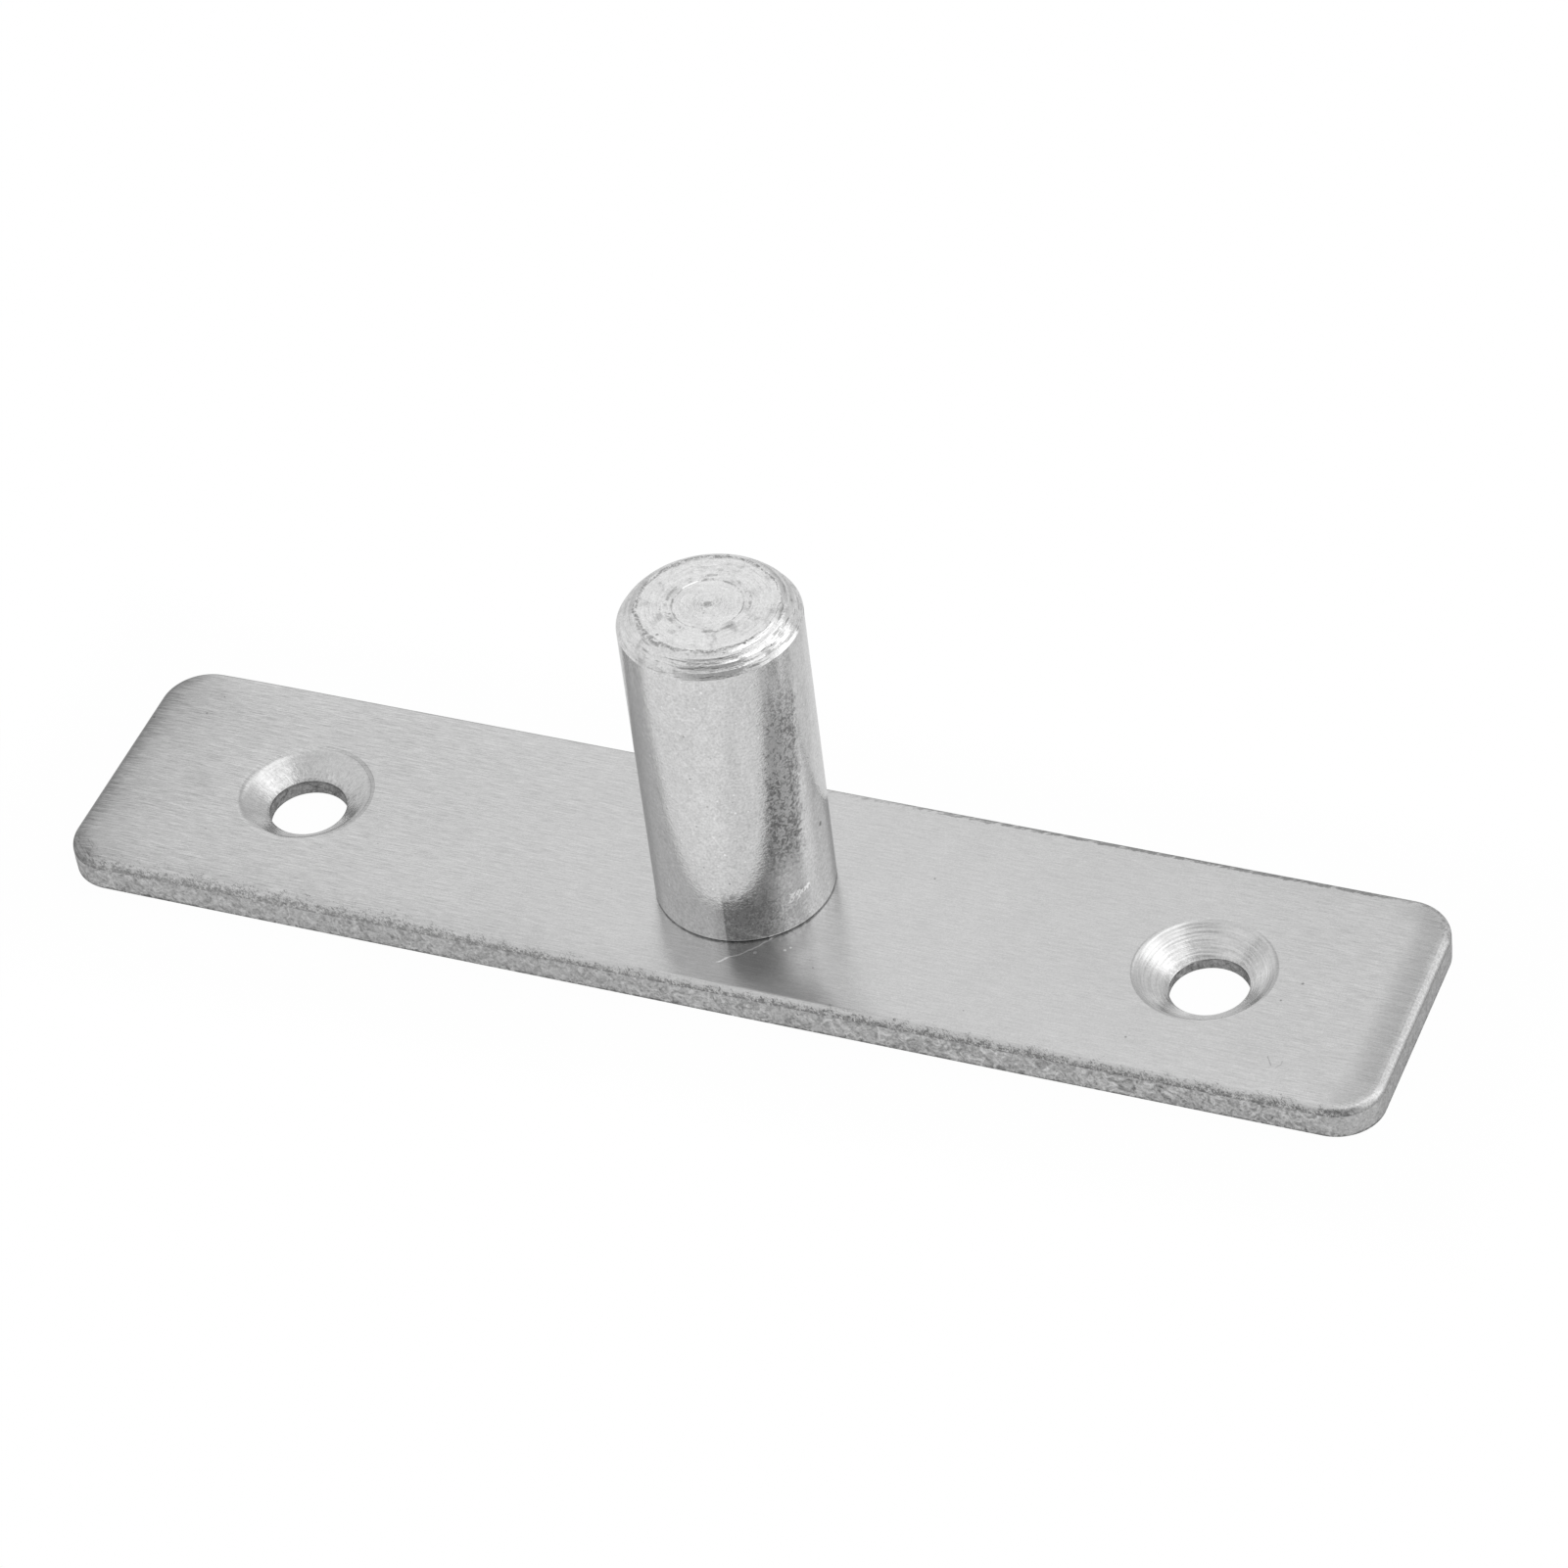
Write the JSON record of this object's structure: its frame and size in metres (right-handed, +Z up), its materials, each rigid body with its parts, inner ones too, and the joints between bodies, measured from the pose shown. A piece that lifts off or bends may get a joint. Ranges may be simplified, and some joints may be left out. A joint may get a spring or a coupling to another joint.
{
  "type": "pivot hinge",
  "caption": "Fixed pivot for a swinging glass or panel door: a steel plate with countersunk screw holes and a riveted upright pivot pin.",
  "frame": {"origin": "on the pin's axis, in the plate's back face", "axes": "+X along the plate, +Y across it, +Z up along the pin, from the plate's back towards the pin's free end"},
  "size_m": [0.115, 0.025, 0.033],
  "materials": {
    "brushed_stainless": "cold-rolled stainless sheet, fine grain along the plate, blanked edges left as punched",
    "zinc_plated_steel": "turned steel with bright zinc plating, finely speckled"
  },
  "bodies": {
    "root": {"mounting_plate": "brushed_stainless", "pivot_pin": "zinc_plated_steel"}
  },
  "joints": []
}
